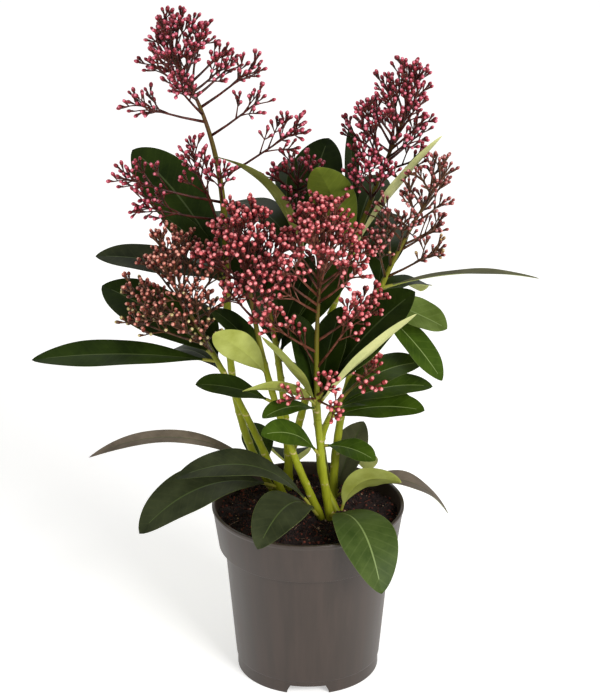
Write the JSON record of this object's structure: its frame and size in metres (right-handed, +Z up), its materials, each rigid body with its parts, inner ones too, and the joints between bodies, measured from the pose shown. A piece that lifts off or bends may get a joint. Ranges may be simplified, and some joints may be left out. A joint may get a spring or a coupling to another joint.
{
  "type": "potted skimmia shrub",
  "caption": "Small evergreen shrub with whorls of leathery leaves and red flower buds in upright heads, growing in a round plastic nursery pot.",
  "frame": {"origin": "middle of the pot's flat underside", "axes": "+Z up along the pot's axis, -Y towards the front of the plant, +X to its right as seen from the front"},
  "size_m": [0.336, 0.2106, 0.4608],
  "materials": {
    "pot": "injection-moulded polypropylene, satin, taupe grey-brown with faint flow streaks",
    "peat": "moist fibrous peat potting mix, dark brown",
    "stem": "smooth green young bark with pale leaf scars",
    "foliage": "leathery evergreen leaf, glossy dark green above, pale yellow-green below",
    "flower_buds": "closed crimson flower buds on dark red twigs"
  },
  "bodies": {
    "root": {"flowers_back": "flower_buds", "flowers_front": "flower_buds", "flowers_left": "flower_buds", "flowers_low_right": "flower_buds", "flowers_mid_left": "flower_buds", "flowers_middle": "flower_buds", "flowers_right": "flower_buds", "flowers_tall": "flower_buds", "flowers_upper": "flower_buds", "leaf_arched_left": "foliage", "leaf_curled_right": "foliage", "leaf_level_left": "foliage", "leaf_long_left": "foliage", "leaf_over_rim_back": "foliage", "leaf_over_rim_back_left": "foliage", "leaf_over_rim_back_right": "foliage", "leaf_over_rim_front": "foliage", "leaf_over_rim_front_right": "foliage", "leaf_over_rim_left": "foliage", "leaf_over_rim_right": "foliage", "leaf_small_left": "foliage", "leaf_small_right": "foliage", "leaf_upright_back": "foliage", "leaf_upright_right": "foliage", "leaves_back": "foliage", "leaves_front": "foliage", "leaves_left": "foliage", "leaves_low_right": "foliage", "leaves_mid_left": "foliage", "leaves_middle": "foliage", "leaves_right": "foliage", "leaves_tall": "foliage", "leaves_upper": "foliage", "pot": "pot", "root_ball": "peat", "stem_back": "stem", "stem_front": "stem", "stem_left": "stem", "stem_low_right": "stem", "stem_mid_left": "stem", "stem_middle": "stem", "stem_right": "stem", "stem_tall": "stem", "stem_upper": "stem"}
  },
  "joints": []
}
